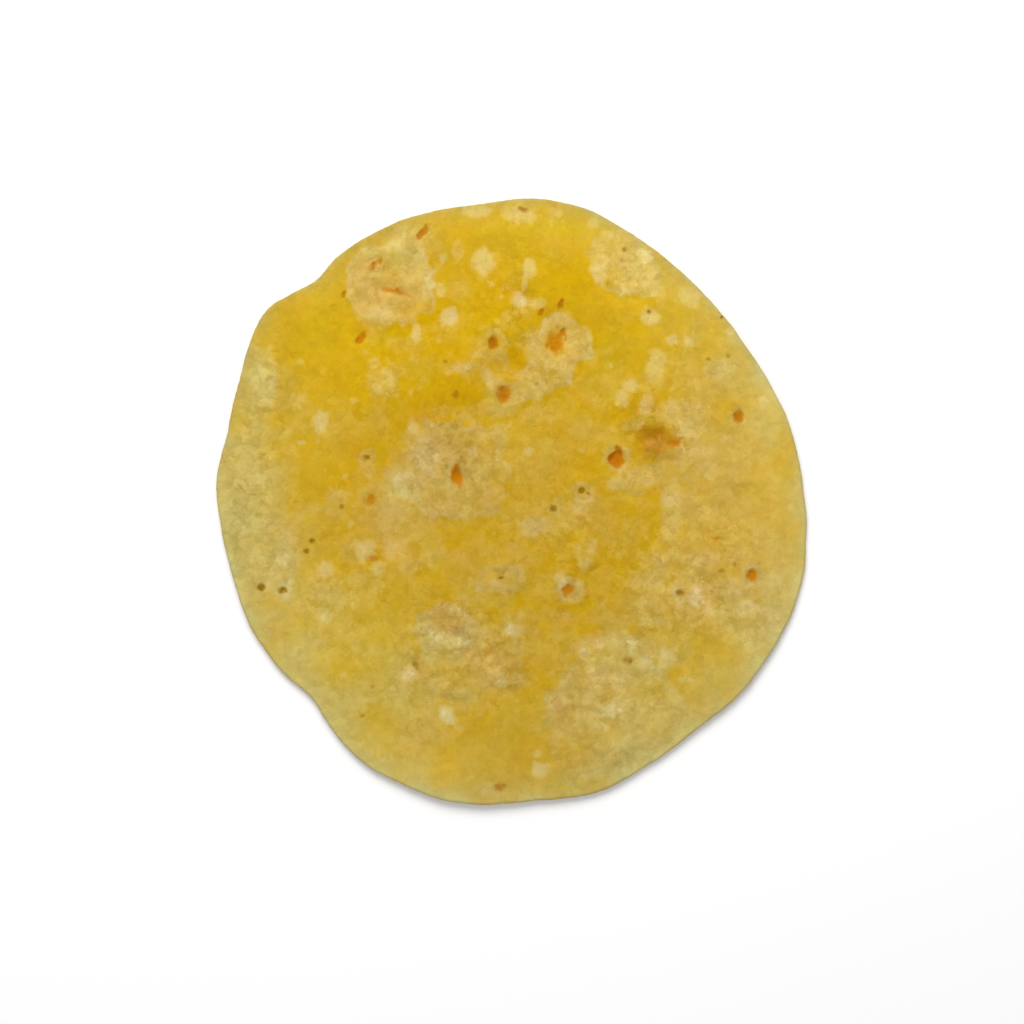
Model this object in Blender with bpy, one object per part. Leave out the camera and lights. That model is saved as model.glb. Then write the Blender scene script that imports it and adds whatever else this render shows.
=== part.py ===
# One round griddled tortilla lying flat, its blistered face up.
# Metres. +X is that face's right, +Y its top, and +Z points out of it. The origin is
# the middle of the bounding box, on the flat underside.

import math

import bmesh
import bpy
from mathutils import Vector, noise

MM = 0.001

# The sheet of dough
MEAN_RADIUS = 80 * MM
SHEET_THICKNESS = 2.0 * MM
RIM_THICKNESS = 1.3 * MM
TAPER_WIDTH = 9 * MM
RIM_ROUNDING = 0.45 * MM
HEAVE_HEIGHT = 0.18 * MM
HEAVE_SIZE = 17 * MM
LUMP_HEIGHT = 0.12 * MM
LUMP_SIZE = 5 * MM
RELIEF_FADE = 6 * MM

# The outline: how far the edge lies outside the mean radius, in millimetres, at an angle
# in degrees anticlockwise from +X. The two short steps are small notches.
EDGE = (
    (0, -0.8), (15, -2.2), (34, -4.1), (52, -3.1), (66, -0.6), (76, 1.6), (86, 2.2), (96, 0.9),
    (112, 1.7), (126, 1.1), (132, -0.3), (137, 2.0), (143, 4.0), (150, 2.6), (157, 0.4), (166, -0.8),
    (176, 0.1), (188, -1.3), (198, -1.9), (207, -1.6), (218, -2.8), (225, -4.0), (231, -1.7), (238, 0.8),
    (249, 2.2), (260, 2.9), (274, 1.2), (287, 1.8), (298, 0.2), (308, -0.6), (321, 0.8), (345, 1.3),
)
EDGE_WAVER = 0.35 * MM
EDGE_WAVER_SIZE = 8 * MM

# Places round the rim that curled up from the griddle: angle, spread in degrees, height
RIM_CURLS = (
    (143, 22, 2.1 * MM),
    (205, 28, 0.8 * MM),
    (262, 30, 1.6 * MM),
    (322, 24, 1.1 * MM),
    (38, 28, 1.8 * MM),
)
CURL_WIDTH = 22 * MM
CURL_STEEPNESS = 1.4

# Puffed areas, in millimetres: across, up, half width, half height, turn in degrees, rise
BLISTERS = (
    (-33, 60, 12.5, 11.5, 15, 1.4),
    (31, 64, 13, 8.5, -30, 1.2),
    (14.5, 43, 7.5, 9.5, -15, 1.1),
    (-15.5, 9, 15.5, 14.5, 0, 1.2),
    (-1.5, 29.5, 8, 6.5, 15, 0.8),
    (-34, 33.5, 4.5, 6.5, 0, 0.6),
    (-17.5, -34.5, 9, 9, 0, 1.3),
    (-2, -42, 8.5, 8.5, 0, 1.2),
    (-18, -48.5, 8, 4.5, -20, 0.8),
    (27, -56, 18, 20, -20, 1.5),
    (61, -3, 17, 28, 0, 0.9),
    (39.5, 17, 7.5, 6, -10, 1.1),
    (33.5, 5.5, 6, 4.5, 0, 0.7),
    (-69, 8, 9, 34, -8, 0.7),
    (-55, -46, 8, 11, 40, 0.6),
    (20, -14, 4.5, 6.5, 0, 0.6),
    (-1.5, -20.5, 8, 6, 0, 0.6),
    (60, 36, 8, 12, 30, 0.6),
)
BLISTER_FLAT = 0.5
BLISTER_FOOT = 1.1
BLISTER_WARP = 0.32
BLISTER_WARP_SIZE = 9 * MM
BLISTER_CREASE = 0.32
BLISTER_CREASE_SIZE = 5.5 * MM

# Toasted spots, each a shallow pit: across, up, half width, half height, turn in degrees, depth
TOASTED_PITS = (
    (-24, 73, 3.5, 1.8, 40, 0.4),
    (-31, 56.5, 5.5, 1.8, -15, 0.4),
    (-37, 63.5, 2.2, 3, -30, 0.35),
    (-40.5, 44.3, 2, 3, -40, 0.4),
    (-4.8, 43, 2.4, 2.4, 0, 0.5),
    (10.5, 43, 2.4, 4, 10, 0.45),
    (14.5, 45, 1.8, 3, 0, 0.35),
    (-2.3, 28.7, 2.8, 3.2, 0, 0.6),
    (28.3, 11.7, 3, 3.2, 0, 0.7),
    (-14.8, 6.5, 2.4, 3.4, 0, 0.5),
    (61.2, 22.8, 2.2, 2.2, 0, 0.45),
    (36.5, 17.5, 3, 3.2, 0, 0.4),
    (44.5, 16, 2, 2.2, 0, 0.35),
    (19.2, 3, 2, 1.8, 0, 0.4),
    (-38, 0.5, 1.6, 2.4, 0, 0.35),
    (-37.5, -15.7, 2.4, 1.6, 0, 0.35),
    (15.6, -23.7, 2.2, 2.2, 0, 0.6),
    (65, -20, 2.2, 2.4, 0, 0.55),
    (56.5, -10, 2.6, 1.4, -15, 0.3),
    (-25.5, -44, 2, 2.8, 35, 0.45),
    (-67.7, -23.2, 1.8, 1.8, 0, 0.4),
    (-61.8, -23.8, 1.8, 1.8, 0, 0.4),
    (-3, -77.3, 2.2, 1.6, 0, 0.3),
    (32, -43, 2.6, 1.9, 0, 0.35),
)
PIT_FLOOR = 0.25
PIT_MOUTH = 1.2
PIT_RING = 1.9
PIT_RING_WIDTH = 0.5
PIT_RING_RISE = 0.3

# The mesh: rings of triangles over the face, then steps in from the rim underneath
FACE_RINGS = 38
HEXAGON_CORNER = math.radians(30)
SECTOR = math.radians(60)
UNDERSIDE_STEPS = (0.94, 0.88, 0.81, 0.70)
SHARP_EDGE = math.radians(60)

CRUMB_COLOUR = (0.58, 0.37, 0.05, 1)
CRUMB_ROUGHNESS = 0.45


def clear_scene():
    for obj in list(bpy.data.objects):
        bpy.data.objects.remove(obj)


def smooth(low, high, value):
    """0 up to low, 1 from high on, and an S curve between them."""
    t = min(max((value - low) / (high - low), 0), 1)
    return t * t * (3 - 2 * t)


def edge_offset(degrees):
    """The outline's offset in millimetres, on a smooth closed curve through EDGE."""
    count = len(EDGE)
    after = next((i for i, stop in enumerate(EDGE) if stop[0] > degrees), count)
    stops = []
    for i in range(after - 2, after + 2):
        turns, place = divmod(i, count)
        stops.append((EDGE[place][0] + 360 * turns, EDGE[place][1]))
    (a0, r0), (a1, r1), (a2, r2), (a3, r3) = stops
    span = a2 - a1
    t = (degrees - a1) / span
    slope_1 = (r2 - r0) / (a2 - a0) * span
    slope_2 = (r3 - r1) / (a3 - a1) * span
    return (
        (2 * t**3 - 3 * t**2 + 1) * r1
        + (t**3 - 2 * t**2 + t) * slope_1
        + (3 * t**2 - 2 * t**3) * r2
        + (t**3 - t**2) * slope_2
    )


def edge_radius(angle):
    """Distance from the middle to the edge of the tortilla at an angle in radians."""
    around = Vector((math.cos(angle), math.sin(angle), 0)) * MEAN_RADIUS
    waver = EDGE_WAVER * noise.noise(around / EDGE_WAVER_SIZE)
    return MEAN_RADIUS + MM * edge_offset(math.degrees(angle) % 360) + waver


def rim_curl(angle, in_from_edge):
    """How far the sheet has curled up off the surface that it lies on."""
    if in_from_edge > CURL_WIDTH:
        return 0
    height = 0
    for middle, spread, rise in RIM_CURLS:
        turn = (math.degrees(angle) - middle + 180) % 360 - 180
        height += rise * math.exp(-((turn / spread) ** 2))
    return height * smooth(CURL_WIDTH, 0, in_from_edge) ** CURL_STEEPNESS


def oval_distance(place, x, y, warp=0):
    """0 in the middle of an oval and 1 on its edge."""
    across, up, half_width, half_height, turn = place[:5]
    angle = -math.radians(turn)
    dx = x / MM - across
    dy = y / MM - up
    u = (dx * math.cos(angle) - dy * math.sin(angle)) / half_width
    v = (dx * math.sin(angle) + dy * math.cos(angle)) / half_height
    return math.hypot(u, v) * (1 + warp)


def blister_rise(x, y):
    """Height of the puffed areas, with uneven edges and a creased top."""
    spot = Vector((x, y, 0))
    warp = BLISTER_WARP * noise.noise(spot / BLISTER_WARP_SIZE)
    crease = 1 - BLISTER_CREASE * abs(noise.noise(spot / BLISTER_CREASE_SIZE))
    rise = 0
    for blister in BLISTERS:
        swell = smooth(BLISTER_FOOT, BLISTER_FLAT, oval_distance(blister, x, y, warp))
        rise = max(rise, MM * blister[5] * swell)
    return rise * crease


def pit_depth(x, y):
    """Depth of the toasted spots, each with a low raised ring round it."""
    depth = 0
    for pit in TOASTED_PITS:
        away = oval_distance(pit, x, y)
        if away < PIT_RING + 3 * PIT_RING_WIDTH:
            bowl = smooth(PIT_MOUTH, PIT_FLOOR, away)
            ring = PIT_RING_RISE * math.exp(-(((away - PIT_RING) / PIT_RING_WIDTH) ** 2))
            depth += MM * pit[5] * (bowl - ring)
    return depth


def sheet_thickness(in_from_edge):
    return RIM_THICKNESS + (SHEET_THICKNESS - RIM_THICKNESS) * smooth(0, TAPER_WIDTH, in_from_edge)


def top_height(x, y, angle, in_from_edge):
    """Height of the shown face above the surface that the tortilla lies on."""
    spot = Vector((x, y, 0))
    heave = HEAVE_HEIGHT * noise.noise(spot / HEAVE_SIZE + Vector((0, 0, 3)))
    lump = LUMP_HEIGHT * noise.noise(spot / LUMP_SIZE + Vector((0, 0, 7)))
    relief = blister_rise(x, y) - pit_depth(x, y) + heave + lump
    sheet = rim_curl(angle, in_from_edge) + sheet_thickness(in_from_edge)
    return sheet + relief * smooth(0, RELIEF_FADE, in_from_edge)


def round_out_hexagon(point):
    """Turns a place in the unit hexagon into a share of the radius and an angle."""
    turn = math.atan2(point.y, point.x)
    sector = math.floor((turn - HEXAGON_CORNER) / SECTOR)
    from_middle = turn - HEXAGON_CORNER - (sector + 0.5) * SECTOR
    share = point.length * math.cos(from_middle) / math.cos(SECTOR / 2)
    along = 0.5 + 0.5 * math.tan(from_middle) / math.tan(SECTOR / 2)
    return share, HEXAGON_CORNER + (sector + along) * SECTOR


def add_top(bm):
    """The shown face: a hexagon of even triangles, rounded out to the outline and raised."""
    bmesh.ops.create_circle(bm, cap_ends=True, cap_tris=True, segments=6, radius=1)
    bmesh.ops.subdivide_edges(bm, edges=bm.edges[:], cuts=FACE_RINGS - 1, use_grid_fill=True)
    for vert in bm.verts:
        share, angle = round_out_hexagon(vert.co)
        edge = edge_radius(angle)
        radius = share * (edge - RIM_ROUNDING)
        x = radius * math.cos(angle)
        y = radius * math.sin(angle)
        vert.co = (x, y, top_height(x, y, angle, edge - RIM_ROUNDING - radius))


def extrude_ring(bm, ring, place):
    """Extrudes the open edge and puts each new corner where place says for its angle."""
    made = bmesh.ops.extrude_edge_only(bm, edges=ring)["geom"]
    for vert in (item for item in made if isinstance(item, bmesh.types.BMVert)):
        vert.co = place(math.atan2(vert.co.y, vert.co.x))
    return [item for item in made if isinstance(item, bmesh.types.BMEdge) and item.is_boundary]


def add_rim_and_underside(bm):
    """A blunt rounded rim, then the underside in rings that come down to one flat face."""

    def rim_side(angle):
        radius = edge_radius(angle)
        height = rim_curl(angle, 0) + RIM_THICKNESS / 2
        return (radius * math.cos(angle), radius * math.sin(angle), height)

    def underside_at(share):
        def place(angle):
            edge = edge_radius(angle) - RIM_ROUNDING
            radius = edge * share
            height = rim_curl(angle, edge - radius)
            return (radius * math.cos(angle), radius * math.sin(angle), height)

        return place

    ring = [edge for edge in bm.edges if edge.is_boundary]
    ring = extrude_ring(bm, ring, rim_side)
    ring = extrude_ring(bm, ring, underside_at(1))
    for share in UNDERSIDE_STEPS:
        ring = extrude_ring(bm, ring, underside_at(share))
    bmesh.ops.contextual_create(bm, geom=ring)


def centre_on_origin(bm):
    """Moves the mesh so that its bounding box stands on the origin."""
    low = [min(vert.co[axis] for vert in bm.verts) for axis in range(3)]
    high = [max(vert.co[axis] for vert in bm.verts) for axis in range(3)]
    shift = Vector((-(low[0] + high[0]) / 2, -(low[1] + high[1]) / 2, -low[2]))
    bmesh.ops.translate(bm, verts=bm.verts[:], vec=shift)


def make_crumb_material():
    material = bpy.data.materials.new("griddled_dough")
    material.use_nodes = True
    shader = material.node_tree.nodes["Principled BSDF"]
    shader.inputs["Base Color"].default_value = CRUMB_COLOUR
    shader.inputs["Roughness"].default_value = CRUMB_ROUGHNESS
    shader.inputs["Metallic"].default_value = 0
    return material


def make_tortilla():
    mesh = bpy.data.meshes.new("tortilla")
    bm = bmesh.new()
    add_top(bm)
    add_rim_and_underside(bm)
    centre_on_origin(bm)
    bmesh.ops.triangulate(bm, faces=[face for face in bm.faces if len(face.verts) > 4])
    bmesh.ops.recalc_face_normals(bm, faces=bm.faces[:])
    bm.to_mesh(mesh)
    bm.free()
    mesh.shade_smooth()
    mesh.set_sharp_from_angle(angle=SHARP_EDGE)
    mesh.materials.append(make_crumb_material())
    tortilla = bpy.data.objects.new("tortilla", mesh)
    bpy.context.scene.collection.objects.link(tortilla)


clear_scene()
make_tortilla()
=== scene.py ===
import math
import random

import bpy
import numpy as np
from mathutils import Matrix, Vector, noise


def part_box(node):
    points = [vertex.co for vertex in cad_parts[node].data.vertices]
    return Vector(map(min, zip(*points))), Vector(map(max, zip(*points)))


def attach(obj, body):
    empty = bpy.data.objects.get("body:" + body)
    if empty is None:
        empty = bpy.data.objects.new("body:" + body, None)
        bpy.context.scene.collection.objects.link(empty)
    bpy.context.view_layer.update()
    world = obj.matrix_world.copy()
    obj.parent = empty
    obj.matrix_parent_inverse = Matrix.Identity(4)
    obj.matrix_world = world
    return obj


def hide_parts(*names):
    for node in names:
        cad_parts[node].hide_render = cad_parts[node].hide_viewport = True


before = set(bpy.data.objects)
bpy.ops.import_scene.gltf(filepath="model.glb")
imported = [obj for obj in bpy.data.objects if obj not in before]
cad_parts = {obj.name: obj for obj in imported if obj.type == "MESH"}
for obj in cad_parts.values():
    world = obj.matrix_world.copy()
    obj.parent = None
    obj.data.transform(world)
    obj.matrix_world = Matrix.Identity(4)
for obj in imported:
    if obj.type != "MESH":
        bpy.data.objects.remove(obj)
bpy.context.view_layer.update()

# The sheet of dough
# The whole tortilla is one sheet of yellow dough, pressed about 2 mm thick and baked on a
# griddle. Steam lifted it in places, so the shown face keeps low creased blisters, and the
# thin rim curled up a little as it dried.

MM = 0.001
MEAN_RADIUS = 80 * MM


def smooth(low, high, value):
    """0 up to low, 1 from high on, and an S curve between them."""
    t = np.clip((value - low) / (high - low), 0, 1)
    return t * t * (3 - 2 * t)


def unevenness(x, y, amount, size, layer):
    """Soft noise about 0, of that amount and lump size. Each layer is a pattern of its own."""
    places = np.stack([x / size, y / size, np.full_like(x, layer)], axis=1)
    return amount * np.array([noise.noise(place) for place in places])


# The outline

# How far the edge lies outside the mean radius, in millimetres, at an angle in degrees
# anticlockwise from +X. The dips at 132 and 225 degrees are small notches.
EDGE = (
    (0, -0.8), (15, -2.2), (34, -4.1), (52, -3.1), (66, -0.6), (76, 1.6), (86, 2.2), (96, 0.9),
    (112, 1.7), (126, 1.1), (132, -0.3), (137, 2.0), (143, 4.0), (150, 2.6), (157, 0.4),
    (166, -0.8), (176, 0.1), (188, -1.3), (198, -1.9), (207, -1.6), (218, -2.8), (225, -4.0),
    (231, -1.7), (238, 0.8), (249, 2.2), (260, 2.9), (274, 1.2), (287, 1.8), (298, 0.2),
    (308, -0.6), (321, 0.8), (345, 1.3),
)
# Each unevenness is an amount, the size of its lumps, and its layer
EDGE_WAVER = (0.35 * MM, 8 * MM, 0)
EDGE_CRUMBLE = (0.12 * MM, 1.6 * MM, 5)


def edge_offset(degrees):
    """The outline's offset in millimetres, on a smooth closed curve through EDGE."""
    count = len(EDGE)
    after = next((i for i, stop in enumerate(EDGE) if stop[0] > degrees), count)
    stops = []
    for i in range(after - 2, after + 2):
        turns, place = divmod(i, count)
        stops.append((EDGE[place][0] + 360 * turns, EDGE[place][1]))
    (a0, r0), (a1, r1), (a2, r2), (a3, r3) = stops
    span = a2 - a1
    t = (degrees - a1) / span
    slope_1 = (r2 - r0) / (a2 - a0) * span
    slope_2 = (r3 - r1) / (a3 - a1) * span
    return (
        (2 * t**3 - 3 * t**2 + 1) * r1
        + (t**3 - 2 * t**2 + t) * slope_1
        + (3 * t**2 - 2 * t**3) * r2
        + (t**3 - t**2) * slope_2
    )


def edge_radius(angle):
    """Distance from the middle to the edge of the tortilla at each angle in radians."""
    offset = np.array([edge_offset(degrees) for degrees in np.degrees(angle) % 360])
    x = np.cos(angle) * MEAN_RADIUS
    y = np.sin(angle) * MEAN_RADIUS
    return MEAN_RADIUS + MM * offset + unevenness(x, y, *EDGE_WAVER) + unevenness(x, y, *EDGE_CRUMBLE)


# The curled rim

# Places round the rim that curled up from the griddle: angle, spread in degrees, height
RIM_CURLS = (
    (143, 22, 2.1 * MM),
    (205, 28, 0.8 * MM),
    (262, 30, 1.6 * MM),
    (322, 24, 1.1 * MM),
    (38, 28, 1.8 * MM),
)
CURL_WIDTH = 22 * MM
CURL_STEEPNESS = 1.4


def rim_curl(angle, in_from_edge):
    """How far the sheet has curled up off the surface that it lies on."""
    height = np.zeros_like(angle)
    for middle, spread, rise in RIM_CURLS:
        turn = (np.degrees(angle) - middle + 180) % 360 - 180
        height += rise * np.exp(-((turn / spread) ** 2))
    return height * smooth(CURL_WIDTH, 0, in_from_edge) ** CURL_STEEPNESS


# The blisters and the toasted pits

# Puffed areas, in millimetres: across, up, half width, half height, turn in degrees, rise
BLISTERS = (
    (-33, 60, 12.5, 11.5, 15, 1.4), (31, 64, 13, 8.5, -30, 1.2), (14.5, 43, 7.5, 9.5, -15, 1.1),
    (-15.5, 9, 15.5, 14.5, 0, 1.2), (-1.5, 29.5, 8, 6.5, 15, 0.8), (-34, 33.5, 4.5, 6.5, 0, 0.6),
    (-17.5, -34.5, 9, 9, 0, 1.3), (-2, -42, 8.5, 8.5, 0, 1.2), (-18, -48.5, 8, 4.5, -20, 0.8),
    (27, -56, 18, 20, -20, 1.5), (61, -3, 17, 28, 0, 0.9), (39.5, 17, 7.5, 6, -10, 1.1),
    (33.5, 5.5, 6, 4.5, 0, 0.7), (-69, 8, 9, 34, -8, 0.7), (-55, -46, 8, 11, 40, 0.6),
    (20, -14, 4.5, 6.5, 0, 0.6), (-1.5, -20.5, 8, 6, 0, 0.6), (60, 36, 8, 12, 30, 0.6),
)
BLISTER_FLAT = 0.5
BLISTER_FOOT = 1.1
BLISTER_WARP = (0.32, 9 * MM, 0)
BLISTER_CREASE = (0.32, 5.5 * MM, 0)

# Toasted spots, each a shallow pit, written in the same way with its depth last
TOASTED_PITS = (
    (-24, 73, 3.5, 1.8, 40, 0.4), (-31, 56.5, 5.5, 1.8, -15, 0.4), (-37, 63.5, 2.2, 3, -30, 0.35),
    (-40.5, 44.3, 2, 3, -40, 0.4), (-4.8, 43, 2.4, 2.4, 0, 0.5), (10.5, 43, 2.4, 4, 10, 0.45),
    (14.5, 45, 1.8, 3, 0, 0.35), (-2.3, 28.7, 2.8, 3.2, 0, 0.6), (28.3, 11.7, 3, 3.2, 0, 0.7),
    (-14.8, 6.5, 2.4, 3.4, 0, 0.5), (61.2, 22.8, 2.2, 2.2, 0, 0.45), (36.5, 17.5, 3, 3.2, 0, 0.4),
    (44.5, 16, 2, 2.2, 0, 0.35), (19.2, 3, 2, 1.8, 0, 0.4), (-38, 0.5, 1.6, 2.4, 0, 0.35),
    (-37.5, -15.7, 2.4, 1.6, 0, 0.35), (15.6, -23.7, 2.2, 2.2, 0, 0.6),
    (65, -20, 2.2, 2.4, 0, 0.55), (56.5, -10, 2.6, 1.4, -15, 0.3), (-25.5, -44, 2, 2.8, 35, 0.45),
    (-67.7, -23.2, 1.8, 1.8, 0, 0.4), (-61.8, -23.8, 1.8, 1.8, 0, 0.4),
    (-3, -77.3, 2.2, 1.6, 0, 0.3), (32, -43, 2.6, 1.9, 0, 0.35),
)
PIT_FLOOR = 0.25
PIT_MOUTH = 1.2
PIT_RING = 1.9
PIT_RING_WIDTH = 0.5
PIT_RING_RISE = 0.3


def oval_distance(oval, x, y, warp=0.0):
    """0 in the middle of an oval and 1 on its edge."""
    across, up, half_width, half_height, turn = oval[:5]
    angle = -math.radians(turn)
    dx = x / MM - across
    dy = y / MM - up
    u = (dx * math.cos(angle) - dy * math.sin(angle)) / half_width
    v = (dx * math.sin(angle) + dy * math.cos(angle)) / half_height
    return np.hypot(u, v) * (1 + warp)


def blister_rise(x, y):
    """Height of the puffed areas, with uneven edges and a creased top."""
    warp = unevenness(x, y, *BLISTER_WARP)
    rise = np.zeros_like(x)
    for blister in BLISTERS:
        swell = smooth(BLISTER_FOOT, BLISTER_FLAT, oval_distance(blister, x, y, warp))
        rise = np.maximum(rise, MM * blister[5] * swell)
    return rise * (1 - np.abs(unevenness(x, y, *BLISTER_CREASE)))


def pit_depth(x, y):
    """Depth of the toasted spots, each with a low raised ring round it."""
    depth = np.zeros_like(x)
    for pit in TOASTED_PITS:
        away = oval_distance(pit, x, y)
        bowl = smooth(PIT_MOUTH, PIT_FLOOR, away)
        ring = PIT_RING_RISE * np.exp(-(((away - PIT_RING) / PIT_RING_WIDTH) ** 2))
        depth += MM * pit[5] * (bowl - ring)
    return depth


# The two faces

SHEET_THICKNESS = 2.0 * MM
RIM_THICKNESS = 1.3 * MM
TAPER_WIDTH = 9 * MM
HEAVE = (0.18 * MM, 17 * MM, 3)
LUMPS = (0.12 * MM, 5 * MM, 7)
CRUMB = (0.09 * MM, 2.2 * MM, 17)
# The share of the crumb's height between the blisters, and what each metre of rise adds
CRUMB_BETWEEN_BLISTERS = 0.5
CRUMB_ON_BLISTERS = 0.8 / MM
RELIEF_FADE = 6 * MM


def sheet_thickness(in_from_edge):
    """Full in the middle, and thinner towards the rim."""
    return RIM_THICKNESS + (SHEET_THICKNESS - RIM_THICKNESS) * smooth(0, TAPER_WIDTH, in_from_edge)


def top_height(x, y, angle, in_from_edge):
    """Height of the shown face above the surface that the tortilla lies on."""
    blisters = blister_rise(x, y)
    crumb = unevenness(x, y, *CRUMB) * (CRUMB_BETWEEN_BLISTERS + CRUMB_ON_BLISTERS * blisters)
    relief = blisters - pit_depth(x, y) + unevenness(x, y, *HEAVE) + unevenness(x, y, *LUMPS) + crumb
    sheet = rim_curl(angle, in_from_edge) + sheet_thickness(in_from_edge)
    return sheet + relief * smooth(0, RELIEF_FADE, in_from_edge)


def underside_height(x, y, angle, in_from_edge):
    """Flat where it lies, and off the surface only where the rim curls up."""
    return rim_curl(angle, in_from_edge)


# The mesh: two hexagons of even triangles, rounded out to the two faces and joined at the rim

# The cuts bring the shown face to 160 rings of triangles and the underside to 72
FACE_CUTS = (19, 7)
UNDERSIDE_CUTS = (8, 7)
HEXAGON_CORNER = math.radians(30)
SECTOR = math.radians(60)
RIM_ROUNDING = 0.45 * MM
# Places on the rim's side, as shares of the rounding outwards and of the thickness upwards
RIM_PROFILE = ((0.75, 0.78), (1.0, 0.48), (0.7, 0.14))


def points_of(obj):
    points = np.empty(len(obj.data.vertices) * 3)
    obj.data.vertices.foreach_get("co", points)
    return points.reshape(-1, 3)


def move_points(obj, x, y, z):
    obj.data.vertices.foreach_set("co", np.stack([x, y, z], axis=1).ravel())
    obj.data.update()


def add_hexagon(name, cuts):
    """A hexagon of even triangles."""
    bpy.ops.object.select_all(action="DESELECT")
    bpy.ops.mesh.primitive_circle_add(vertices=6, radius=MEAN_RADIUS, fill_type="TRIFAN")
    face = bpy.context.object
    face.name = name
    bpy.ops.object.mode_set(mode="EDIT")
    bpy.ops.mesh.select_all(action="SELECT")
    for count in cuts:
        bpy.ops.mesh.subdivide(number_cuts=count)
    bpy.ops.object.mode_set(mode="OBJECT")
    return face


def round_out(points):
    """Turns places in the hexagon into shares of the radius and angles."""
    turn = np.arctan2(points[:, 1], points[:, 0])
    sector = np.floor((turn - HEXAGON_CORNER) / SECTOR)
    from_middle = turn - HEXAGON_CORNER - (sector + 0.5) * SECTOR
    length = np.hypot(points[:, 0], points[:, 1]) / MEAN_RADIUS
    share = length * np.cos(from_middle) / math.cos(SECTOR / 2)
    along = 0.5 + 0.5 * np.tan(from_middle) / math.tan(SECTOR / 2)
    return share, HEXAGON_CORNER + (sector + along) * SECTOR


def spread_out(face, height):
    """Rounds the hexagon out to the outline and raises each point to its height."""
    share, angle = round_out(points_of(face))
    edge = edge_radius(angle) - RIM_ROUNDING
    radius = share * edge
    x = radius * np.cos(angle)
    y = radius * np.sin(angle)
    move_points(face, x, y, height(x, y, angle, edge - radius))


def select_open_edge(obj):
    bpy.ops.object.mode_set(mode="EDIT")
    bpy.ops.mesh.select_mode(type="VERT")
    bpy.ops.mesh.select_all(action="DESELECT")
    bpy.ops.mesh.select_non_manifold(
        use_wire=False, use_multi_face=False, use_non_contiguous=False, use_verts=False
    )


def extrude_rim(face, outward, lift):
    """Extrudes the open edge to a place on the rim's rounded side."""
    select_open_edge(face)
    bpy.ops.mesh.extrude_edges_move()
    bpy.ops.object.mode_set(mode="OBJECT")
    points = points_of(face)
    chosen = np.array([vert.select for vert in face.data.vertices])
    angle = np.arctan2(points[chosen, 1], points[chosen, 0])
    radius = edge_radius(angle) - RIM_ROUNDING * (1 - outward)
    points[chosen, 0] = radius * np.cos(angle)
    points[chosen, 1] = radius * np.sin(angle)
    points[chosen, 2] = rim_curl(angle, np.zeros_like(angle)) + RIM_THICKNESS * lift
    move_points(face, points[:, 0], points[:, 1], points[:, 2])


sheet = add_hexagon("tortilla_sheet", FACE_CUTS)
spread_out(sheet, top_height)
for outward, lift in RIM_PROFILE:
    extrude_rim(sheet, outward, lift)

underside = add_hexagon("tortilla_underside", UNDERSIDE_CUTS)
spread_out(underside, underside_height)

bpy.ops.object.select_all(action="DESELECT")
underside.select_set(True)
sheet.select_set(True)
bpy.context.view_layer.objects.active = sheet
bpy.ops.object.join()
select_open_edge(sheet)
bpy.ops.mesh.bridge_edge_loops()
bpy.ops.mesh.select_all(action="SELECT")
bpy.ops.mesh.quads_convert_to_tris()
bpy.ops.mesh.normals_make_consistent(inside=False)
bpy.ops.object.mode_set(mode="OBJECT")
bpy.ops.object.shade_smooth()

# The sheet lies where the CAD node lies
low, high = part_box("tortilla")
points = points_of(sheet)
middle = (points.min(axis=0) + points.max(axis=0)) / 2
move_points(
    sheet,
    points[:, 0] - middle[0] + (low.x + high.x) / 2,
    points[:, 1] - middle[1] + (low.y + high.y) / 2,
    points[:, 2] - points[:, 2].min() + low.z,
)

# The marks of baking: ovals by place with uneven edges, written on each point of the mesh

# How far out an oval is full and where it has faded away, as shares of its size
BROAD_FADE = (0.3, 1.4)
SOFT_FADE = (0.1, 1.5)
CRISP_FADE = (0.45, 1.45)
# How unevenly the edges of areas and of spots run
AREA_WARP = (0.34, 9 * MM, 0)
AREA_FINE_WARP = (0.28, 3.4 * MM, 2)
SPOT_WARP = (0.42, 3 * MM, 4)
SPOT_FINE_WARP = (0.26, 1.4 * MM, 6)
CRISP_WARP = 0.7

normals = np.empty(len(sheet.data.vertices) * 3)
sheet.data.vertices.foreach_get("normal", normals)
upward = normals.reshape(-1, 3)[:, 2]
points = points_of(sheet)
x, y = points[:, 0], points[:, 1]
angle = np.arctan2(y, x)
in_from_edge = edge_radius(angle) - np.hypot(x, y)
area_warp = unevenness(x, y, *AREA_WARP) + unevenness(x, y, *AREA_FINE_WARP)
spot_warp = unevenness(x, y, *SPOT_WARP) + unevenness(x, y, *SPOT_FINE_WARP)


def cover(ovals, fade=SOFT_FADE, warp=area_warp):
    """How strongly a set of ovals with uneven edges covers each point."""
    full, end = fade
    total = np.zeros_like(x)
    for oval in ovals:
        total = np.maximum(total, oval[5] * smooth(end, full, oval_distance(oval, x, y, warp)))
    return total


def near_edge(width):
    """1 at the edge of the tortilla, fading inwards over that width."""
    return np.exp(-in_from_edge / width)


def strewn_ovals(seed, count, reach, sizes, heights, strengths):
    """Ovals as chance has them, within reach of the middle, in millimetres."""
    random.seed(seed)
    ovals = []
    for _ in range(count):
        away = reach * math.sqrt(random.random())
        turn = random.uniform(0, 2 * math.pi)
        size = random.uniform(*sizes)
        height = size * random.uniform(*heights)
        lie = random.uniform(0, 180)
        strength = random.uniform(*strengths)
        ovals.append((away * math.cos(turn), away * math.sin(turn), size, height, lie, strength))
    return tuple(ovals)


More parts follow.
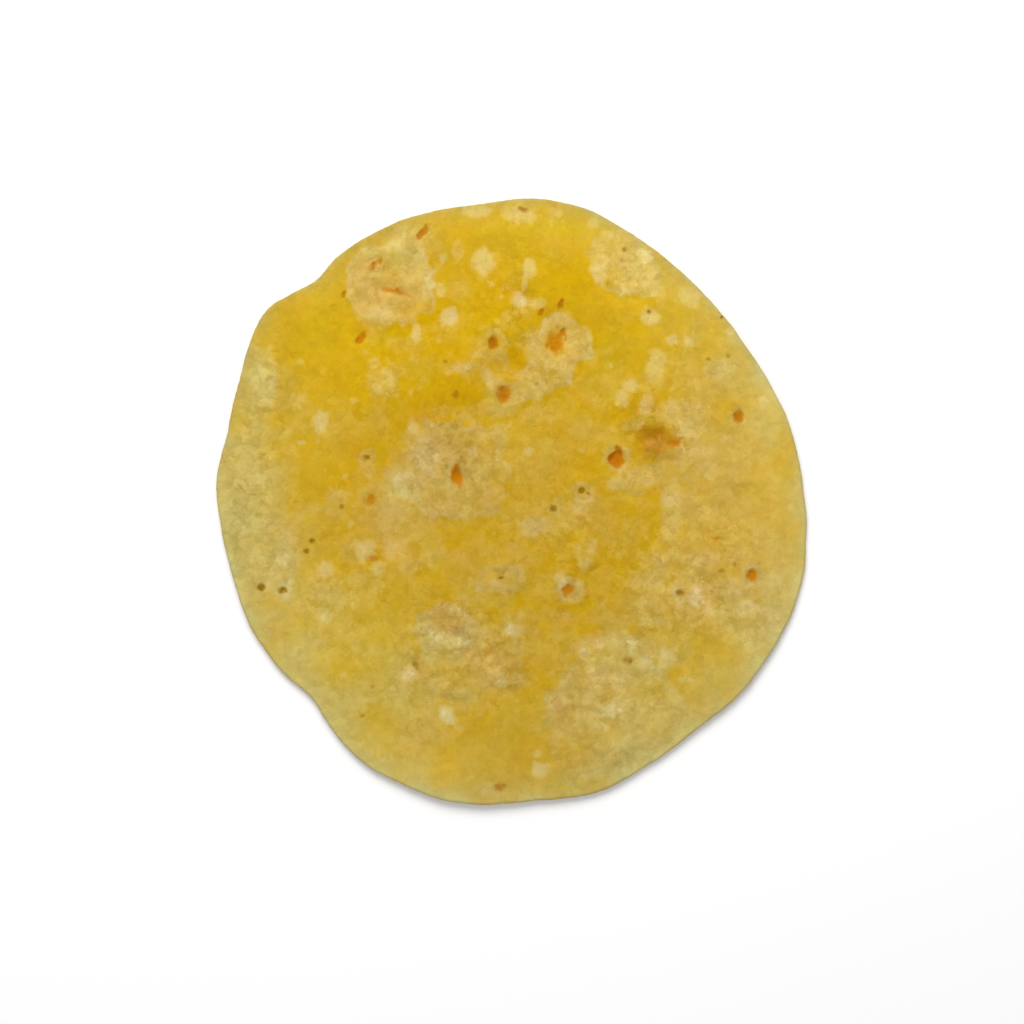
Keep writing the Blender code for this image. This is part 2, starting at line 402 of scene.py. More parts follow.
# Where the shown face is paler than the yellow of the dough, in millimetres: across, up,
# half width, half height, turn in degrees, and how pale the middle is
PALE_AREAS = (
    (62, 0, 24, 40, 0, 0.28), (-71, 4, 13, 40, -6, 0.48), (-42, -48, 26, 22, 20, 0.29),
    (28, -58, 26, 24, 0, 0.36), (-15, 6, 20, 17, 0, 0.3), (-30, -5, 14, 12, 0, 0.32),
    (14, 4, 30, 22, 0, 0.2), (-10, -41, 18, 14, 0, 0.46), (56, -28, 14, 14, 0, 0.46),
    (-33, 60, 13, 12, 15, 0.3), (-28, 70, 8, 5, 10, 0.46), (-35, 52, 8, 4.5, 0, 0.6),
    (30, 65, 11, 8.5, -30, 0.4), (36, 60, 8, 5, -20, 0.56), (14, 43.5, 7.5, 9.5, -15, 0.3),
    (6.3, 42, 2.4, 6, 8, 0.5), (6.5, 32.5, 9, 5, 28, 0.35), (-3, 27.5, 5.5, 5.5, 0, 0.55),
    (-6.2, 33, 1.7, 5, 20, 0.62), (-13, 36.2, 5, 1.5, 4, 0.46), (-6, 41.5, 4.5, 5, 0, 0.3),
    (-23, 12, 6, 9, 10, 0.72), (-28, 5, 6.5, 6.5, 0, 0.85), (-4, 16, 4, 6.5, 10, 0.5),
    (-22, -36.5, 4.5, 5.5, 0, 0.7), (-15.5, -36.5, 6, 4.5, 0, 0.74), (-4, -48.5, 8, 3, 8, 0.5),
    (30, -38.5, 13, 3.4, -10, 0.56), (23, -49, 5.5, 11, -8, 0.62), (25, -58, 7, 6, 0, 0.62),
    (43.5, -3, 3.5, 12, 0, 0.5), (47, 22, 6, 6.5, 0, 0.48), (52, 11, 6, 8, 0, 0.44),
    (35, 6, 7, 3.6, 0, 0.58), (57, 36.5, 6.5, 4.2, 20, 0.54), (50, -13, 8, 8, 0, 0.42),
    (37.5, -18, 6, 5, 0, 0.42), (68, -33, 6, 10, -30, 0.5), (69, -22, 4.5, 5, 0, 0.46),
    (20.5, -13, 3.6, 6, -10, 0.36), (-66.8, 32, 5, 10.5, 5, 0.62), (-72, 6, 9, 22, 0, 0.56),
    (-62.5, -15, 5.5, 9, -8, 0.6), (-64, -33, 6, 5, 0, 0.5), (-57, -43, 6, 5.5, 0, 0.52),
    (-35, 34, 4.6, 6.2, 8, 0.36), (6, -6.5, 5, 4, 20, 0.54), (-3.5, -21, 6.5, 4.5, 0, 0.46),
)
# Blistered patches whose pale has a sharper edge, the same way
BLISTERED_PATCHES = (
    (-32.5, 59, 12, 10.4, 15, 0.54), (30.5, 64, 11, 8, -30, 0.54), (14, 43, 7.6, 8.2, -15, 0.56),
    (8.6, 34, 9.6, 4.8, 40, 0.5), (-15, 8.5, 14.5, 13.5, 0, 0.48), (-18.5, -34.5, 8, 6.6, 0, 0.55),
    (-3.5, -42, 7.5, 7.5, 0, 0.4), (28, -59, 18.5, 22, -6, 0.44), (35.5, 6, 7, 4, 0, 0.36),
    (-35, 34, 4.4, 6, 8, 0.2), (-3, -21, 6.5, 4.4, 0, 0.36), (-72, 5, 8, 24, -4, 0.4),
    (-55.5, -42, 7, 6, 0, 0.36), (53, 11, 8, 10, 0, 0.26), (-4.8, 42.8, 3.6, 3.4, 0, 0.26),
    (-2.3, 28.6, 4.4, 4.6, 0, 0.4), (28.3, 11.8, 3.9, 4, 0, 0.42),
    (15.6, -23.8, 3.9, 3.5, 20, 0.46), (-14.8, 6.6, 3.6, 4.8, 12, 0.5), (61.2, 22.8, 3, 3, 0, 0.42),
    (19.4, 2.4, 3.2, 2.8, -20, 0.42), (45.5, -24.8, 3.2, 2.4, 0, 0.56), (65, -20, 3.2, 3.4, 0, 0.5),
    (-38, 0.5, 2.8, 3.4, 0, 0.28), (11.6, -1.9, 2.2, 2.1, 0, 0.36), (37.1, 51.2, 2.3, 2.1, 0, 0.56),
    (30.4, 68, 2.2, 2.2, 0, 0.6), (-61.8, -23.8, 2.6, 2.4, 0, 0.44),
    (-67.8, -23.2, 2.6, 2.3, 0, 0.48), (-39.2, 11.8, 2.8, 2.2, 0, 0.26),
)
# How far a patch's edge wanders, softens and frays, and how wide and pale its border is
PATCH_WARP = 0.7
PATCH_SOFTNESS = 0.7
FRINGE = (1.3, 2.8 * MM, 15)
BORDER_WIDTH = 1.1
BORDER_PALE = 0.1


def patch_cover(patches):
    """How strongly patches with a crisp edge and a slightly paler border cover each point."""
    fringe = unevenness(x, y, *FRINGE)
    total = np.zeros_like(x)
    for patch in patches:
        beyond = oval_distance(patch, x, y, PATCH_WARP * area_warp) - 1
        outside = beyond * (patch[2] + patch[3]) / 2 + fringe
        inside = smooth(PATCH_SOFTNESS, -PATCH_SOFTNESS, outside)
        border = BORDER_PALE * np.exp(-(((outside + PATCH_SOFTNESS) / BORDER_WIDTH) ** 2))
        total = np.maximum(total, patch[5] * inside + border)
    return total


# Where it is a little drier than its surroundings
DRIER_AREAS = (
    (-1.6, 38, 2.6, 3.4, 0, 0.24), (-56, -24, 9, 6, 0, 0.34), (-38, -21, 10, 5, 0, 0.3),
    (-32, -13, 5, 3.4, 0, 0.3), (-43, -14, 4, 5, 0, 0.3), (-54, -12, 10, 8, 0, 0.16),
    (-9, -16, 14, 6, 15, 0.24), (-26, -24, 14, 5, 0, 0.14), (36, -27, 10, 7, 0, 0.42),
    (27, -32, 6, 6, 0, 0.32), (20, -39, 3, 3, 0, 0.3), (32, -8, 3, 8, 0, 0.12),
    (-26, 37, 10, 4, 0, 0.14), (-14, -21, 6, 4, 0, 0.24), (7, 24, 7, 4, 0, 0.22),
    (2, 60, 3, 3, 0, 0.22), (2, 50.5, 4, 2.6, 0, 0.22), (-38, 46, 5, 4, 0, 0.24),
    (-14, 58, 5, 4, 0, 0.2), (3, 44, 3, 4, 0, 0.24), (34, 21, 5, 3, 0, 0.3), (39, 32, 4, 4, 0, 0.2),
    (13, -31, 7, 3, 0, 0.24), (27, -47, 7, 4, 0, 0.24), (24, -62, 4, 3, 0, 0.24),
    (-48, -3, 3, 3, 0, 0.26), (-36, 22, 4, 6, 0, 0.2), (-29, 43, 7, 4, 0, 0.22),
    (24, 32, 9, 8, 0, 0.2), (48, 41, 9, 7, 30, 0.16), (7, 27, 5, 4, 20, 0.16),
    (-12, 24, 5, 3, 0, 0.26), (-4, 34.5, 5, 2.6, 0, 0.24), (-46, 18, 9, 9, 0, 0.16),
    (-22, 59, 2.4, 4, 0, 0.3), (-2, 48, 6, 4, 40, 0.2), (-41, 52, 3, 10, 10, 0.2),
    (-26, -50, 10, 8, 0, 0.28), (-20, -41, 6, 4, 0, 0.2), (38, -43, 5, 5, 0, 0.34),
    (36, -37, 8, 4, 0, 0.2), (28, -56, 3.4, 4, 0, 0.24), (44, 9, 5, 6, 0, 0.2),
    (38, 16, 6, 3, 0, 0.24), (-32, 0, 6, 8, 0, 0.2), (68, -28, 6, 8, 0, 0.12),
    (10, -40, 6, 5, 0, 0.16), (10, -24, 10, 6, 0, 0.12), (2, -34, 3, 4, 0, 0.26),
    (11.5, -55, 3, 5, 0, 0.24), (46, 16, 4, 6, 0, 0.14), (40, 23, 5, 4, 0, 0.36),
    (36, 67, 4, 4, 0, 0.2), (62, -40, 8, 8, 0, 0.14), (15, -13, 5, 4, 0, 0.2),
    (-51, -24, 10, 5, 0, 0.46), (-28, -17, 4, 4, 0, 0.34), (-4, -26, 6, 3, 0, 0.2),
    (24, -68, 3, 5, 0, 0.3), (52, -16, 8, 6, 0, 0.2), (-42, -52, 6, 4, 0, 0.16),
    (43, -17, 4, 4, 0, 0.26), (-18, 47, 5, 5, 0, 0.16), (-10, 35, 4, 5, 0, 0.16),
    (20, 20, 6, 5, 0, 0.1), (-25, -60, 12, 9, 0, 0.22), (14, -8, 16, 8, 0, 0.12),
    (-6, -78, 7, 2.8, 0, 0.6), (35, -3, 3, 6, 0, 0.14), (47, -40, 5, 3, 0, 0.3),
    (48, -1, 3, 6, 0, 0.2), (48, 34, 8, 9, 0, 0.2), (74, -18, 4, 8, 0, 0.2),
    (-64, -8, 5, 5, 0, 0.16), (20, -22, 5, 5, 0, 0.14),
)
# Where the dough is a clear oily yellow right beside the pale
CLEAR_AREAS = (
    (13, 59, 9, 4.6, -20, 0.5), (22, 55, 8, 4, -22, 0.5), (-50, 46, 12, 7, 20, 0.34),
    (33, 47, 3, 2.2, 0, 0.8), (34.5, 39.5, 2, 3, 0, 0.5), (11.5, 43, 3.2, 3.8, 10, 0.4),
    (1, 39, 1.8, 3.4, 15, 0.28), (32.5, -2, 7, 3.6, 0, 0.15), (45, -47, 5, 2.6, 0, 0.16),
    (54, -38, 8, 6, 10, 0.24), (-36, -60, 6, 5, 0, 0.22), (-40, 67, 8, 4.5, 38, 0.16),
    (-23, 51, 7, 2.6, 0, 0.36), (27, 71, 10, 5, -20, 0.34), (17, 60, 9, 7, 0, 0.9),
    (35, 53, 5, 4, 0, 0.4), (34, 16, 3, 4, 0, 0.3), (-37, -36, 6, 4, 0, 0.2),
    (-64, 22, 4, 4, 0, 0.3), (10, -50, 4, 7, 0, 0.2), (40, -60, 6, 5, 0, 0.16),
    (20, 48, 5, 4, 0, 0.34), (-57, 49, 13, 11, 0, 0.52), (-63, 14, 5, 4, 0, 0.3),
    (-73, 16, 5, 8, 0, 0.12), (-11, 15, 6, 6, 0, 0.14), (20, -12, 5, 5, 0, 0.24),
    (-4, -32, 5, 3.4, 0, 0.26), (-46, -44, 10, 6, 0, 0.26), (-64, -37, 7, 7, 0, 0.28),
    (0, -72, 16, 6, 0, 0.1), (4, -71, 20, 8, 6, 0.34), (20, -76, 9, 4, 8, 0.32),
    (-6, 27, 4, 2.6, 0, 0.2), (8, -54, 8, 10, 0, 0.12), (68, 4, 7, 9, 0, 0.2),
    (-3, 73, 12, 3.4, 0, 0.5), (46, 57, 12, 6, -40, 0.26), (56, 50, 4, 5, -40, 0.4),
    (30, 24, 4, 4, 0, 0.3), (22, 9, 8, 6, 0, 0.2), (75, -8, 5, 8, 0, 0.34), (58, 40, 4, 3, 0, 0.24),
    (-24, -62, 4, 3, 0, 0.3), (60, 24, 5, 5, 0, 0.2), (-16, -46, 6, 4, 0, 0.26),
    (-5, 50, 4, 3, 0, 0.3), (-29, 5, 5, 5, 0, 0.2), (44, 46, 4, 6, 0, 0.16),
    (-33, 60, 3.4, 6, 0, 0.22), (-30, 47, 4, 2.6, 0, 0.3), (37.5, 4, 4, 4, 0, 0.36),
    (27, 4, 4, 3, 0, 0.2), (35, -17, 3.4, 3, 0, 0.2), (-38, -15, 4, 5, 0, 0.2),
    (-38, 1, 3, 3, 0, 0.2), (-17, -32, 5, 4, 0, 0.16), (75, 12, 5, 6, 0, 0.6),
    (-75, 21, 4, 5, 0, 0.4), (40, -51, 4, 2.6, 0, 0.24), (25, -62, 5, 4, 0, 0.26),
    (-3, 5, 3, 6, 0, 0.26), (-7, 14, 3, 6, 0, 0.26), (52, -12, 5, 4, 0, 0.26),
    (57, -19, 5, 3, 0, 0.24), (-41, -32, 6, 4, 0, 0.14), (46, -24, 3, 3, 0, 0.2),
    (-5, -20, 6, 3, 0, 0.16), (17, -28, 4, 3, 0, 0.2), (-58, 14, 5, 5, 0, 0.16),
    (20, 72, 18, 6, -20, 0.24), (-40, 30, 4, 5, 0, 0.14), (-35, 37, 4, 4, 0, 0.3),
    (-5, 43, 3, 3, 0, 0.24),
)
BROAD_CHANGE = (0.1, 22 * MM, 11)
BROAD_MEAN = -0.03
pale = np.maximum(cover(PALE_AREAS, BROAD_FADE), patch_cover(BLISTERED_PATCHES))
pale += cover(DRIER_AREAS) + unevenness(x, y, *BROAD_CHANGE) + BROAD_MEAN
clear = cover(CLEAR_AREAS)
pale -= clear

# Small pale spots, and smaller pale flecks all over
PALE_SPOTS = (
    (-17, 50, 2.8, 2.8, 0, 0.85), (-7.6, 64.5, 3.3, 4, 0, 0.64), (-14.6, 68, 2, 4.2, 0, 0.4),
    (5, 63, 2.1, 3.4, 10, 0.72), (3.6, 58.6, 1.2, 2.6, -6, 0.5), (2.3, 54.3, 2.2, 2.4, 0, 0.85),
    (7, 53.8, 3.4, 2, -12, 0.5), (-1.4, 58, 1.4, 1.4, 0, 0.4), (-1, 50.5, 5.5, 1.8, 32, 0.34),
    (-25.8, 45.5, 1.6, 3.6, 0, 0.6), (-26, 39.5, 1.7, 2.6, 0, 0.3), (-37, 37.4, 2, 2, 0, 0.4),
    (-33.4, 33.4, 2.2, 3, 20, 0.5), (-36.4, 30.6, 1.6, 2.2, 0, 0.46),
    (-31.6, 29.4, 1.6, 1.6, 0, 0.36), (-8.8, 78.3, 4.5, 1.8, 8, 0.55),
    (2.6, 77.4, 5.4, 3.2, 0, 0.6), (11.8, 77.4, 2.7, 3.6, 0, 0.5), (22, 75.2, 2, 2.3, -20, 0.55),
    (26, 72, 2.8, 2, -20, 0.5), (48, 55, 3.6, 3, -35, 0.7), (37.5, 49.3, 3.2, 2, 0, 0.6),
    (32, 31.2, 3.2, 2.4, 0, 0.56), (29.8, 27.7, 2.4, 3, 0, 0.62), (39, 37, 3.2, 4.8, -15, 0.52),
    (36.5, 26, 2.6, 3.3, 0, 0.6), (43.6, 24, 3, 4, 0, 0.6), (34.6, 44, 1.5, 1.4, 0, 0.25),
    (43.5, 43.8, 1.8, 1.6, 0, 0.7), (48, 43, 1.5, 1.5, 0, 0.65), (68, 27, 1.5, 2, 0, 0.65),
    (-51.5, 21.5, 2.6, 3.4, 0, 0.72), (-56.5, 15.8, 1.4, 0.9, 0, 0.6), (-58, 27, 3, 3.4, 0, 0.34),
    (-38.5, 8.5, 3, 3.4, 0, 0.36), (-47, 1, 3.8, 3.4, 0, 0.4), (-39.5, -13.5, 3.6, 3, 0, 0.64),
    (-36, -18, 2.6, 2.6, 0, 0.5), (-50.5, -18.7, 2.8, 2.6, 0, 0.62),
    (-50.4, -31, 2.8, 2.4, 0, 0.66), (4.5, 13.5, 1.8, 1.6, 0, 0.6), (18.6, -1.3, 2.8, 3, 0, 0.5),
    (28.4, 4.6, 3, 2.6, 0, 0.5), (13, -21, 2.2, 2.2, 0, 0.6), (15.6, -26.5, 4, 1.6, 0, 0.35),
    (19, -23.4, 1.6, 3, 0, 0.42), (-3.4, -23, 3, 1.6, -30, 0.65), (50, -26, 3.2, 3.2, 0, 0.88),
    (53, -29.6, 2.8, 2.2, 0, 0.66), (63.5, -29, 3.6, 2.6, 0, 0.85),
    (-27.6, -47, 2.6, 2.5, 20, 0.76), (-31.5, -43, 2.4, 1.6, 0, 0.5),
    (-17.4, -57.8, 2, 3.6, 35, 0.92), (7.4, -72.5, 2.4, 2.6, -30, 0.9), (7, -68, 1.6, 1.6, 0, 0.6),
    (22, -73, 4.6, 2.4, 15, 0.46), (-24, -62, 5, 4, 0, 0.4), (0.4, -34.8, 3, 2, 0, 0.88),
    (30.8, -54.4, 2.2, 4.4, -8, 0.6), (42, -42, 3.4, 2.6, 0, 0.75), (43, -51.5, 2.8, 1.9, -35, 0.5),
    (47, -48, 2.4, 1.4, 0, 0.5), (-14, -38.6, 4.4, 1.4, 8, 0.85), (-2.8, -49, 2.2, 1.4, 0, 0.8),
    (24.4, -38.2, 3.4, 1.7, 20, 0.72), (21.8, -12, 1.4, 3, -12, 0.5),
    (19.8, -16.6, 2.2, 1.8, 10, 0.52), (17.6, -13.2, 1.8, 2.6, 14, 0.42),
    (-10.5, 13.5, 1.8, 2.2, 0, 0.7), (-26.5, 20, 1.8, 2.6, 0, 0.62), (-23.5, 33, 2, 0.8, 0, 0.3),
    (-19, 57.5, 1.6, 2.4, 0, 0.5), (23.5, 62, 3, 3.4, 0, 0.75), (36, 60, 4, 3, -20, 0.6),
    (-36, 51, 6, 2.6, 0, 0.62), (34, 6, 5, 2.6, 0, 0.55), (42.8, 1, 2.6, 4, 0, 0.6),
    (69, -23, 2.6, 3.4, 0, 0.55), (59, 46, 1.6, 1.6, 0, 0.5), (56, 48.5, 1.4, 1.2, 0, 0.3),
    (-8, 73, 1.3, 3, 0, 0.34),
)
flecks = strewn_ovals(
    seed=3, count=420, reach=78, sizes=(0.5, 1.5), heights=(0.6, 1.4), strengths=(0.1, 0.42)
)
bright = cover(PALE_SPOTS + flecks, CRISP_FADE, CRISP_WARP * spot_warp)
brighter_than_pale = np.maximum(bright - np.maximum(pale, 0), 0)

# Where the face is darker than the rest, and where it is lighter
DARKER_AREAS = (
    (-27, 25, 12, 8, 0, 1.3), (-39, 68, 11, 4, 38, 1.9), (-1, 38, 12, 5, 0, 1.8),
    (-10, 32, 10, 7, 0, 1.4), (-35, 62, 5, 6, 0, 1.4), (-14.5, 16, 9, 9, 0, 2.2),
    (-14, 28, 9, 6, 0, 1.8), (-27, 67, 4, 5, 0, 1.8), (32, 21, 4, 5, 0, 1.4),
    (0, -18, 7, 4, 0, 1.4), (-20, -46, 9, 3, 0, 1.4), (33, -57, 3, 4, 0, 1.6),
    (-24, -62, 6, 4, 0, 1), (4, 56, 3, 4, 0, 1.7), (-17, 52, 5, 4, 0, 1.3), (5, 46, 6, 6, 0, 1.5),
    (30, 40, 8, 8, 0, 0.6), (12, 28, 9, 3, 20, 0.7), (14, -27, 5, 4, 0, 0.9),
    (-14, -35, 4, 5, 0, 1.2), (23, 52, 6, 7, 0, 1.1), (-22, 67, 6, 6, 0, 1.3),
    (-1, -65, 12, 12, 0, 0.6), (-23, 34, 9, 5, 0, 1.2), (16, 49.5, 12, 5, -8, 1.8),
    (38.5, 18.6, 6.5, 4.6, 0, 1.3), (-64, 48, 6, 8, 30, 0.9), (-63, 31, 8, 7, 0, 1),
    (5, -72, 18, 7, 10, 0.7), (15, -49, 6, 8, 0, 0.8), (-20, -30, 6, 4, 0, 1.5),
    (62, 21, 6, 4, 0, 1), (-73, -3, 4, 4, 0, 1.1), (-20, 22, 10, 5, -20, 1.6),
    (7, 32, 5, 3, 0, 1.6), (-13, -28, 5, 4, 0, 1.2), (-5, -33, 4, 4, 0, 1.3),
    (-68, 38, 4, 6, 0, 1.3), (48, 20, 6, 4, 0, 0.8), (13, -69, 6, 4, 0, 1.1),
)
LIGHTER_AREAS = (
    (26, 9, 9, 8, 0, 0.8), (72, -2, 10, 26, 0, 1.9), (68, 27, 7, 9, 0, 1.6),
    (32, 57, 10, 5, -12, 2.6), (36, 66, 6, 6, 0, 1.1), (-40, -38, 26, 14, 0, 0.8),
    (-54, -21, 14, 11, 0, 1.1), (-18, -39, 8, 4, 0, 2), (-22, -50, 5, 3, 0, 1.8),
    (31, -54, 9, 6, 0, 1.1), (24, -48, 6, 5, 0, 2.2), (-12, 0, 9, 4, 0, 1), (37, 45, 5, 3, 0, 1.4),
    (-36, -66, 6, 4, 0, 1), (38, -64, 7, 6, 0, 0.6), (34, 2.5, 5, 5, 0, 1.9), (28, 15, 4, 3, 0, 2),
    (13, 71, 10, 5, 0, 1.2), (-42, 48, 5, 9, 0, 0.8), (-64, 3, 8, 20, 0, 0.8),
    (41, -21, 10, 7, 0, 1.8), (48, -12, 12, 9, -40, 2.2), (64, -38, 9, 10, 0, 1.3),
    (26, -61, 6, 3, 0, 1.3), (-30, -14, 4, 4, 0, 2), (-7, -45, 3, 4, 0, 1.8),
    (-42, -26, 8, 5, 0, 1.6), (45, 18, 4, 6, 0, 0.9), (-23, 61, 4, 5, 0, 0.9),
    (60, -14, 14, 10, 0, 1.4), (50, 4, 10, 12, 0, 0.7), (-12, -56, 16, 6, 0, 0.5),
    (15, 38, 7, 4, 0, 1.5), (-32, 4, 6, 6, 0, 0.7), (18, 5, 4, 4, 0, 1.2), (53, -30, 5, 4, 0, 2),
    (14, -4, 4, 5, 0, 0.9), (-53, 10, 9, 6, 0, 1), (-58, -46, 5, 5, 0, 1.4), (62, -7, 6, 7, 0, 2.4),
    (-71, -22, 4, 6, 0, 0.8), (-47, -37, 5, 3, 0, 1.5), (-35, -23, 5, 4, 0, 1.1),
    (16, -13, 7, 5, 0, 1.1), (-22, 53, 5, 3, 0, 1.2), (45, 10, 5, 4, 0, 1.4),
    (-20, -73, 8, 6, 0, 1), (25, 64, 7, 5, 0, 1.1),
)
# The rim is paler, but less so at the upper left, where a dark line runs along the edge. The
# upper left is an angle with a spread, in degrees.
UPPER_LEFT = 112
UPPER_LEFT_SPREAD = 55
DARK_LINE = 1.2
DARK_LINE_WIDTH = 1.6 * MM
EDGE_SHADE_WIDTH = 0.7 * MM
RIM_PALE = 0.6
RIM_PALE_WIDTH = 11 * MM
RIM_PALE_LOST = 0.75
LIP_PALE = 0.42
LIP_PALE_WIDTH = 1.1 * MM
RIM_CHANGE = (0.6, 7 * MM, 13)
RIM_FACING = (0.1, 0.9)
upper_left = np.exp(-(((np.degrees(angle) - UPPER_LEFT) / UPPER_LEFT_SPREAD) ** 2))
shade = cover(DARKER_AREAS) - cover(LIGHTER_AREAS) + near_edge(EDGE_SHADE_WIDTH)
shade += DARK_LINE * upper_left * near_edge(DARK_LINE_WIDTH)
rim = RIM_PALE * near_edge(RIM_PALE_WIDTH) * (1 - RIM_PALE_LOST * upper_left)
rim += LIP_PALE * near_edge(LIP_PALE_WIDTH)
rim *= (1 + unevenness(x, y, *RIM_CHANGE)) * (1 - clear) * smooth(*RIM_FACING, upward)

# Toasted orange-brown spots, the same way, and how deep the colour is
TOASTED_SPOTS = (
    (-24, 73, 2.5, 1.3, 45, 0.74), (-31.5, 56.8, 4.6, 0.9, -14, 0.62), (-31, 57, 1.5, 1.1, 0, 0.7),
    (-37.3, 63.6, 1, 1.9, -25, 0.74), (-35.4, 64.9, 0.8, 1.3, 0, 0.66),
    (-40.7, 44.2, 1.1, 2.2, -45, 0.95), (-45.4, 56, 0.8, 1.7, -35, 0.3),
    (-4.9, 42.9, 1.8, 1.9, 0, 1), (12, 43.4, 2.9, 3.9, -10, 0.64), (10.7, 44, 1.2, 2.8, -12, 0.8),
    (13.6, 45.6, 1, 1.8, -25, 0.84), (14.6, 44.4, 0.6, 1.5, 0, 0.7), (11.4, 41.2, 1.4, 1, 0, 0.8),
    (12.4, 47, 0.7, 1, 0, 0.7), (12.8, 42.8, 0.7, 1, 0, 0.8), (9.6, 42, 0.7, 1.1, 0, 0.7),
    (13.6, 40.6, 0.6, 0.8, 0, 0.6), (9.6, 39.4, 1.2, 1.2, 30, 0.4), (14.7, 39, 0.8, 1.4, 0, 0.35),
    (8.1, 51.4, 0.7, 1.6, -38, 0.8), (13.3, 53.5, 0.8, 1.8, -24, 0.85),
    (-2.3, 28.9, 2.4, 2.9, 0, 0.92), (-15.3, 28.8, 1.4, 1.6, 0, 0.62),
    (28.2, 11.8, 2.3, 2.6, -15, 1.45), (-14.8, 6.8, 2, 3.2, 12, 0.95),
    (61.2, 22.9, 1.7, 1.8, 0, 0.95), (37.4, 18.4, 5, 3.2, 0, 0.57), (44.6, 16.2, 1.5, 1.7, 0, 0.62),
    (39.6, 16.2, 7, 5.2, -8, 0.48), (43, 16.2, 2.6, 2.2, 0, 0.62), (36.2, 12, 2, 1.6, 0, 0.4),
    (33.2, 26.4, 1.2, 3.4, -12, 0.35), (-38, 0.5, 2.1, 2.4, 0, 0.46),
    (-37.6, -15.6, 2.2, 1.4, 0, 0.52), (15.6, -23.8, 2, 1.9, 0, 0.72), (65, -20, 1.8, 2.1, 0, 0.92),
    (67.6, -20.8, 1.6, 0.6, -20, 0.45), (56.5, -10, 2.6, 1.1, -15, 0.36),
    (-3, -77.4, 1.9, 1.5, 0, 0.36), (0.2, 40.4, 2.4, 2, 0, 0.3), (33, 25, 3, 2.4, 0, 0.24),
    (-48, -7, 1.5, 1.5, 0, 0.3), (-4, -52, 3, 2, 0, 0.2), (3.4, 79.1, 1.9, 0.9, 0, 0.42),
)
# Olive-brown pinholes where steam came out
PINHOLES = (
    (-24.3, 72.8, 2.3, 1.1, 45, 0.85), (-45.4, 56, 0.9, 1.5, -35, 0.62),
    (-48.5, 52.5, 1.6, 0.8, 30, 0.35), (-18, 37.8, 0.9, 0.8, 0, 0.6), (30.4, 68, 1, 1.2, 0, 0.7),
    (29.8, 65.2, 0.9, 0.7, 0, 0.5), (26, 59, 0.7, 1.2, 0, 0.35), (37.1, 51.4, 1, 0.9, 0, 0.8),
    (53, 38.3, 1, 0.8, 0, 0.45), (58.5, 39.2, 0.8, 0.7, 0, 0.5), (47, 32.3, 0.7, 0.6, 0, 0.45),
    (66, 28.5, 0.9, 0.7, 0, 0.45), (6.8, 32, 0.6, 0.7, 0, 0.6), (-39.2, 12, 1.5, 0.9, 0, 0.65),
    (-46, -1.3, 1, 0.9, 0, 0.8), (-58.3, 0, 0.7, 0.7, 0, 0.45), (-54, -10.6, 1.2, 0.9, 0, 0.8),
    (-55.4, -13.3, 1.4, 1, 0, 0.8), (-67.8, -23.2, 1.3, 1.1, 0, 0.85),
    (-61.8, -23.9, 1.5, 1.4, 0, 0.9), (-60.5, -35.8, 2, 0.9, 0, 0.4), (-37.5, -50, 1, 0.8, 0, 0.5),
    (-40.3, -57.8, 1.2, 0.8, 0, 0.5), (-25, -59, 0.8, 0.7, 0, 0.45), (19, 3.1, 1.3, 1.2, 0, 1),
    (20.6, 2.2, 1, 0.6, -35, 0.7), (11.5, -1.9, 1.1, 1.1, 0, 0.75), (4, 14.6, 0.7, 0.6, 0, 0.45),
    (-9.3, 11.2, 0.6, 0.6, 0, 0.6), (-2.9, -20.6, 1, 0.7, 0, 0.8), (-2.1, -19, 0.6, 0.7, 0, 0.6),
    (0, -10.6, 0.8, 0.7, 0, 0.5), (17, -16, 0.8, 0.7, 0, 0.5), (60.3, -17, 0.8, 1.2, 0, 0.6),
    (56.7, -18.7, 1.5, 0.8, 0, 0.45), (69.3, -10, 0.9, 0.6, 0, 0.45),
    (45.3, -24.6, 1.5, 1, 0, 0.85), (54.3, -24.3, 1, 0.6, -25, 0.5), (32, -43, 1.9, 1.3, 0, 0.6),
    (38, -34.8, 1.6, 0.5, 0, 0.5), (56.7, 49.8, 0.5, 0.5, 0, 1.2), (-72.8, 3.4, 2.2, 0.4, -50, 0.5),
    (-69.6, 1.9, 2.6, 0.4, 0, 0.5), (-69.5, 15.2, 2.6, 0.4, -15, 0.45), (-70, 24, 0.5, 2, 20, 0.3),
    (36.4, 19.4, 2.6, 1.1, 20, 0.6), (37.6, 18.8, 4.8, 2.8, 0, 0.55),
    (38.8, 17.4, 2.2, 1, -30, 0.58), (40.6, 18.8, 0.9, 1.8, 10, 0.5), (36.7, 14, 0.9, 1.1, 0, 0.5),
    (45.8, 17.2, 1.2, 0.6, 0, 0.5), (35, 17, 0.9, 1.6, 0, 0.5), (-37.6, -15.6, 2, 1, 0, 0.5),
    (15.4, -23.4, 1.7, 1.6, 0, 0.8), (-38, 0.6, 2, 2.2, 0, 0.55), (3.3, 79, 1.9, 1, 0, 0.8),
    (-25.8, -44, 1.1, 2.5, 25, 0.62), (-3, -77.4, 1.8, 1.2, 0, 0.6),
    (56.5, -10, 2.2, 0.9, -15, 0.5), (-15.3, 28.8, 1.2, 1.4, 0, 0.6),
    (8.1, 51.4, 0.8, 1.7, -38, 0.7), (13.3, 53.5, 0.9, 1.9, -24, 0.8),
)
